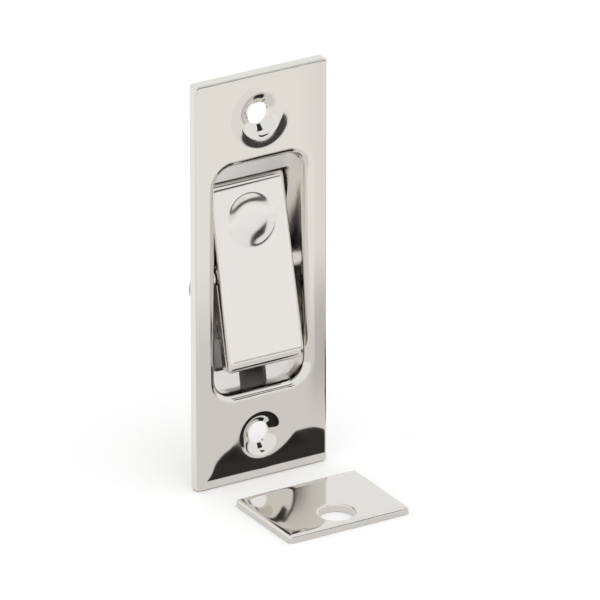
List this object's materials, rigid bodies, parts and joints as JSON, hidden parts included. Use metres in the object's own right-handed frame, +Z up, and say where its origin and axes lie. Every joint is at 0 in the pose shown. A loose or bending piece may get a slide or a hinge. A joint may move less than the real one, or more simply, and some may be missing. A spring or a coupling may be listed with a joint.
{
  "type": "toggle bolt latch",
  "caption": "Flush latch for a sliding pocket door: a rocker in a bright nickel plate throws a round bolt through the jamb into a small loose strike plate.",
  "frame": {"origin": "on the back of the face plate, midway between its two screw holes", "axes": "+Z up along the plate, +Y into the jamb along the screw holes and the bolt, +X right as the user faces the plate"},
  "size_m": [0.0295, 0.0508, 0.0826],
  "materials": {
    "polished_nickel": "mirror polished",
    "nickel_casting": "plated casting",
    "bright_steel": "ground",
    "spring_steel": "tempered",
    "brass": "turned",
    "black_acetal": "moulded"
  },
  "bodies": {
    "latch": {"face_plate": "polished_nickel", "case_shell": "nickel_casting", "case_back": "nickel_casting", "pivot_pin": "bright_steel", "pivot_clip": "spring_steel", "pivot_washer_left": "black_acetal", "pivot_washer_right": "black_acetal", "bolt_bushing": "brass", "bushing_lock_ring": "brass", "detent_spring": "spring_steel", "spring_rivet": "brass", "case_screw_1": "bright_steel", "case_screw_2": "bright_steel", "case_screw_3": "bright_steel", "case_screw_4": "bright_steel", "cover_screw_upper": "bright_steel", "cover_screw_lower": "bright_steel"},
    "toggle": {"toggle": "polished_nickel"},
    "bolt": {"bolt": "bright_steel", "bolt_cross_pin": "bright_steel"},
    "strike": {"strike_plate": "polished_nickel"}
  },
  "joints": [
    {"name": "toggle_pivot", "type": "hinge", "parent": "latch", "child": "toggle", "pos_m": [0, 0.00253, 0], "axis": [1, 0, 0], "range_deg": [0, 25.2], "deforming": ["detent_spring"]},
    {"name": "bolt_slide", "type": "slide", "parent": "latch", "child": "bolt", "axis": [0, 1, 0], "range_m": [0, 0.00458]},
    {"name": "strike_loose", "type": "slide", "parent": "latch", "child": "strike", "axis": [0, -1, 0], "range_m": [0, 0.03]}
  ],
  "couplings": [
    {"joint": "bolt_slide", "follows": "toggle_pivot", "m_per_rad": 0.010368}
  ]
}
